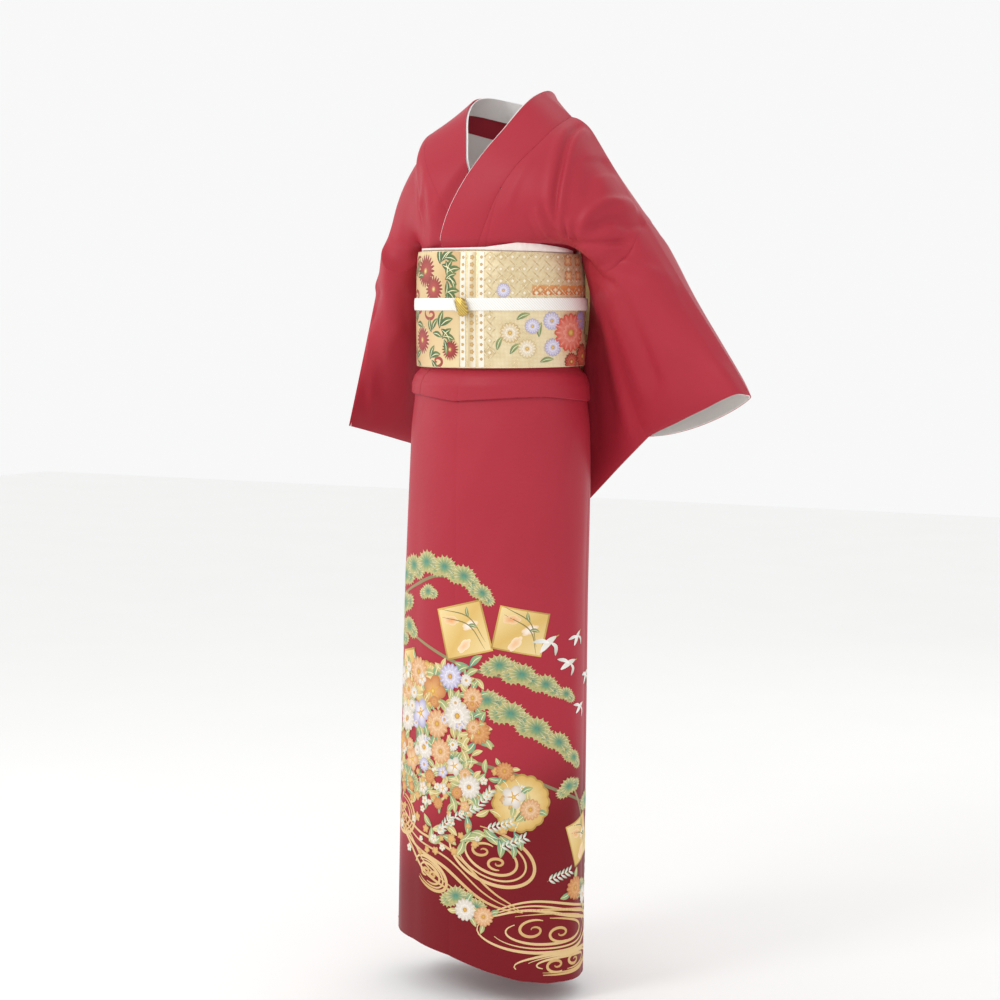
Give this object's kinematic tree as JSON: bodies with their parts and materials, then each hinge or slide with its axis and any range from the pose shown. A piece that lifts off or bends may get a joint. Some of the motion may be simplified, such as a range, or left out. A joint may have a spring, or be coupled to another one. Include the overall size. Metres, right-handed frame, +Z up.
{
  "type": "tomesode kimono with tied sash",
  "caption": "Worn-form formal kimono, hollow, with waist tuck, hanging sleeves, and a tied brocade sash with drum knot, cord and scarf.",
  "frame": {"origin": "between the shoulders, level with the top of the shoulders beside the neck, where a wearer or a form carries the garment", "axes": "+Z up, along the garment's length; -Y the front; +X the wearer's left"},
  "size_m": [0.7172, 0.3422, 1.3731],
  "materials": {
    "crimson_silk": "soft satin silk crepe",
    "white_silk": "fine matte silk",
    "gold_brocade": "woven gold brocade with a metallic sheen",
    "white_braid": "flat braided silk",
    "gold_braid": "braided silk with gold thread",
    "pale_crepe": "matte crepe"
  },
  "bodies": {
    "root": {"front_left": "crimson_silk", "overlap_left": "crimson_silk", "front_right": "crimson_silk", "back_left": "crimson_silk", "back_right": "crimson_silk", "collar_left": "crimson_silk", "collar_right": "crimson_silk", "sleeve_left_front": "crimson_silk", "sleeve_left_back": "crimson_silk", "sleeve_right_front": "crimson_silk", "sleeve_right_back": "crimson_silk", "skirt_back_left": "crimson_silk", "skirt_back_right": "crimson_silk", "skirt_front_left": "crimson_silk", "skirt_overlap_left": "crimson_silk", "skirt_front_right": "crimson_silk", "skirt_overlap_right": "crimson_silk", "under_collar_left": "white_silk", "under_collar_right": "white_silk", "cuff_lining_left": "white_silk", "cuff_lining_right": "white_silk", "sash_wrap": "gold_brocade", "sash_drum": "gold_brocade", "sash_tail": "gold_brocade", "sash_hand": "gold_brocade", "sash_cord": "white_braid", "cord_loop": "white_braid", "cord_knot": "gold_braid", "scarf_front": "pale_crepe", "scarf_back": "pale_crepe"}
  },
  "joints": []
}
